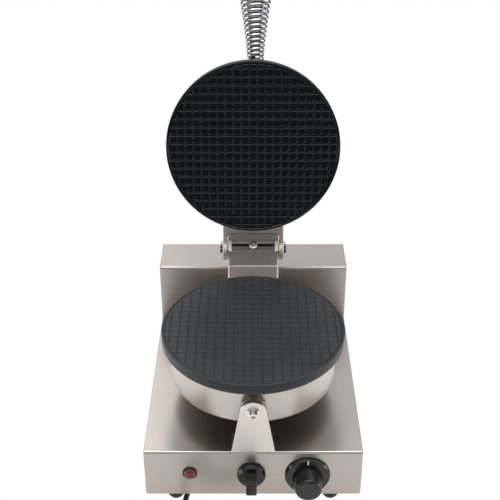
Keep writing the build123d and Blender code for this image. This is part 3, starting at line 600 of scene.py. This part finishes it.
def handle_point(radius, angle, along):
    """A point at a radius and angle about the handle's axis, so far along it."""
    side = handle_direction.cross(Vector((1, 0, 0)))
    spoke = Vector((1, 0, 0)) * cos(angle) + side * sin(angle)
    return handle_seat + spoke * radius + handle_direction * along


spring_start = 6.5 * MM
spring_coils = 18
wire_radius = 2.7 * MM
spring_narrow = 7.4 * MM
spring_flare = 0.404 * MM
spring_flare_growth = 0.0264 * MM
spring_wide_turn = 14
spring_tip = 9.0 * MM


def coil_radius(turn):
    """Radius of the wire's centreline after so many turns."""
    widening = min(turn, spring_wide_turn)
    radius = spring_narrow + spring_flare * widening + spring_flare_growth * widening**2
    beyond = max(turn - spring_wide_turn, 0) / (spring_coils - 1 - spring_wide_turn)
    return radius - (radius - spring_tip) * beyond**2


def coil_pitch(turn):
    """How far one turn of the wire goes along the handle, which grows at first."""
    return min(max(5.3 + 0.1 * (turn - 0.5), 5.3), 6.3) * MM


def spring_piece():
    """One right-handed wire that swells towards the tip and closes in again."""
    steps = 40
    sides = 12
    path = []
    along = spring_start
    total = (spring_coils - 1) * steps
    for step in range(total + 1):
        turn = step / steps
        path.append(handle_point(coil_radius(turn), 2 * pi * turn - pi / 2, along))
        along += coil_pitch(turn) / steps
    mesh = bmesh.new()
    loops = []
    for index, point in enumerate(path):
        before, after = path[max(index - 1, 0)], path[min(index + 1, total)]
        tangent = (after - before).normalized()
        outward = point - handle_seat
        outward = (outward - handle_direction * outward.dot(handle_direction)).normalized()
        outward = (outward - tangent * outward.dot(tangent)).normalized()
        side = tangent.cross(outward)
        loops.append([point + (outward * cos(a) + side * sin(a)) * wire_radius for a in even(sides)])
    rows = rings(mesh, loops)
    mesh.faces.new(rows[0])
    mesh.faces.new(rows[-1])
    return finish_mesh(mesh, "handle_coil", "chrome", sharp_degrees=50)


spring = spring_piece()

# ---- Controls ----
thermostat = next(joint for joint in frame["joints"] if joint["name"] == "thermostat_turn")
dial_centre = Vector(thermostat["pos_m"])


def dial_pointer():
    """A raised white bar at the top of the thermostat's skirt."""
    inner, outer = 19.5 * MM, 23.6 * MM  # from the dial's centre
    half_width = 0.9 * MM
    foot, top = 3.6 * MM, 4.9 * MM  # in front of the panel
    mesh = bmesh.new()
    loops = []
    for forward in (foot, top):
        middle = Vector((dial_centre.x, front_y - forward, dial_centre.z))
        corners = [(-half_width, inner), (half_width, inner), (half_width, outer), (-half_width, outer)]
        loops.append([middle + Vector((x, 0, z)) for x, z in corners])
    low, high = rings(mesh, loops)
    mesh.faces.new(low)
    mesh.faces.new(high)
    return finish_mesh(mesh, "dial_pointer", "mark")


pointer = dial_pointer()


# ---- Floor and light ----
def make_floor():
    """A table top that glows a little, as a lit studio sweep does, and that the camera sees as white."""
    mesh = bmesh.new()
    left, right, front, back = -0.8, 0.55, -1.15, 1.8
    corners = [(left, front), (right, front), (right, back), (left, back)]
    mesh.faces.new([mesh.verts.new((x, y, 0)) for x, y in corners])
    data = bpy.data.meshes.new("floor")
    mesh.to_mesh(data)
    mesh.free()
    surface = Surface("floor_white", Roughness=0.8, Specular_IOR_Level=0.2, Emission_Strength=0.45)
    surface.shader.inputs["Emission Color"].default_value = (1, 1, 1, 1)
    pattern = surface.noise(surface.place(), (3.0,) * 3, detail=2.0)
    surface.color(pattern, shades((0.55, 0.55, 0.548), 0.01))
    seen = surface.node("ShaderNodeMixShader")
    output = surface.tree.nodes["Material Output"]
    surface.link(surface.node("ShaderNodeLightPath").outputs["Is Camera Ray"], seen.inputs["Fac"])
    surface.link(surface.shader.outputs[0], seen.inputs[1])
    surface.link(surface.node("ShaderNodeEmission").outputs[0], seen.inputs[2])
    surface.link(seen.outputs[0], output.inputs["Surface"])
    data.materials.append(surface.material)
    floor = bpy.data.objects.new("floor", data)
    scene.collection.objects.link(floor)


def area_light(name, location, target, size, power):
    """A rectangular softbox that faces a target."""
    data = bpy.data.lights.new(name, "AREA")
    data.shape = "RECTANGLE"
    data.size, data.size_y = size
    data.energy = power
    light = bpy.data.objects.new(name, data)
    light.location = location
    light.rotation_euler = (Vector(target) - Vector(location)).to_track_quat("-Z", "Y").to_euler()
    light.visible_camera = False
    scene.collection.objects.link(light)


def make_world():
    """A studio that is bright overhead and behind, more so on the left, and dark in front and at the sides."""
    world = bpy.data.worlds.new("studio")
    world.use_nodes = True
    scene.world = world
    tree = world.node_tree
    background = tree.nodes["Background"]
    background.inputs["Color"].default_value = (1, 1, 1, 1)
    output = tree.nodes["World Output"]

    def node(kind, **settings):
        made = tree.nodes.new(kind)
        for key, value in settings.items():
            setattr(made, key, value)
        return made

    def ranged(source, start, end, low, high):
        remap = node("ShaderNodeMapRange", interpolation_type="SMOOTHSTEP")
        for socket, value in zip(("From Min", "From Max", "To Min", "To Max"), (start, end, low, high)):
            remap.inputs[socket].default_value = value
        tree.links.new(source, remap.inputs["Value"])
        return remap.outputs["Result"]

    direction = node("ShaderNodeTexCoord")
    parts = node("ShaderNodeSeparateXYZ")
    tree.links.new(direction.outputs["Generated"], parts.inputs[0])
    across, back, up = parts.outputs
    front_light = ranged(up, 0.0, 0.8, 0.07, 0.9)
    back_light = ranged(up, 0.0, 0.6, 0.15, 1.05)
    mix = node("ShaderNodeMix", data_type="FLOAT")
    tree.links.new(ranged(back, -0.35, 0.25, 0.0, 1.0), mix.inputs["Factor"])
    tree.links.new(front_light, mix.inputs["A"])
    tree.links.new(back_light, mix.inputs["B"])
    sideways = node("ShaderNodeMath", operation="ABSOLUTE")
    tree.links.new(across, sideways.inputs[0])
    strength = mix.outputs["Result"]
    for share in (ranged(across, -0.6, 0.6, 1.15, 0.8), ranged(sideways.outputs[0], 0.6, 0.9, 1.0, 0.4)):
        product = node("ShaderNodeMath", operation="MULTIPLY")
        tree.links.new(strength, product.inputs[0])
        tree.links.new(share, product.inputs[1])
        strength = product.outputs[0]
    tree.links.new(strength, background.inputs["Strength"])

    white = node("ShaderNodeBackground")
    white.inputs["Color"].default_value = (1, 1, 1, 1)
    paths = node("ShaderNodeLightPath")
    seen = node("ShaderNodeMixShader")
    tree.links.new(paths.outputs["Is Camera Ray"], seen.inputs["Fac"])
    tree.links.new(background.outputs[0], seen.inputs[1])
    tree.links.new(white.outputs[0], seen.inputs[2])
    tree.links.new(seen.outputs[0], output.inputs["Surface"])


def make_light():
    """A large softbox overhead, one behind on the left, one on the right and a low strip at each side."""
    aim = (0, 0.0, 0.15)
    area_light("top_softbox", (0, 0.25, 2.2), aim, (1.8, 1.4), 26)
    area_light("back_left_softbox", (-0.8, 2.0, 2.05), aim, (1.2, 0.9), 3.5)
    area_light("right_softbox", (1.9, -0.6, 1.1), aim, (0.7, 1.4), 3)
    for side in (-1, 1):
        area_light("side_strip", (1.7 * side, -0.1, 0.08), (0, -0.1, 0.2), (1.4, 0.45), 11)


make_floor()
make_world()
make_light()
scene.view_settings.view_transform = "Standard"

# ---- Finishes of the CAD nodes ----
finishes = {
    "sheet_x": ["base_cover", "column_cover", "bottom_plate"],
    "sheet_y": ["left_side_panel", "right_side_panel"],
    "pan_lower": ["lower_pan"],
    "pan_upper": ["upper_pan"],
    "bracket": ["front_bracket", "wiring_conduit", "bracket_spacer", "handle_boss", "pin_lock_screw"],
    "hinge": ["hinge_bracket", "stop_plate", "lid_arm"],
    "polished": [
        "bracket_foot_screws", "bracket_washer", "bracket_screw", "hinge_bracket_screws", "pin_clips",
        "arm_screws", "upper_plate_screws", "lower_plate_screws", "handle_nut",
        "foot_screws", "switch_shaft", "thermostat_shaft",
    ],
    "pin": ["hinge_pin", "hinge_sleeve", "handle_rod"],
    "element": ["lower_element", "upper_element"],
    "wool": ["lower_insulation", "upper_insulation"],
    "black": [
        "switch_knob", "thermostat_dial", "thermostat_grip", "switch_body", "thermostat_body", "plug_body",
        "cord_gland", "lamp_bezel",
    ],
    "white": ["terminal_block", "lamp_body"],
    "lens": ["lamp_lens"],
    "rubber": ["foot_front_left", "foot_front_right", "foot_rear_left", "foot_rear_right"],
    "brass": ["plug_pins"],
    "coating_lower_painted_light": ["lower_plate"],
    "coating_upper_painted_shade": ["upper_plate"],
    "chrome": ["handle_spring"],
    "lead": ["power_cord", "cord_coil", "cord_tail"],
}
for finish, names in finishes.items():
    for name in names:
        data = nodes[name].data
        data.materials.clear()
        data.materials.append(materials[finish])

lead.data.materials.append(materials["lead"])
for put_away in (lead, nodes["plug_body"], nodes["plug_pins"]):
    put_away.visible_glossy = False  # keeps the coil's mirror image out of the front panel

# ---- How the pieces ride on the frame ----
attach(lead, "root")
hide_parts("power_cord", "cord_coil", "cord_tail")
for piece, body, node in ((lower_grid, "root", "lower_plate"), (upper_grid, "lid", "upper_plate")):
    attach(piece, body)
    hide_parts(node)
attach(spring, "lid")
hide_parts("handle_spring")
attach(pointer, "thermostat")
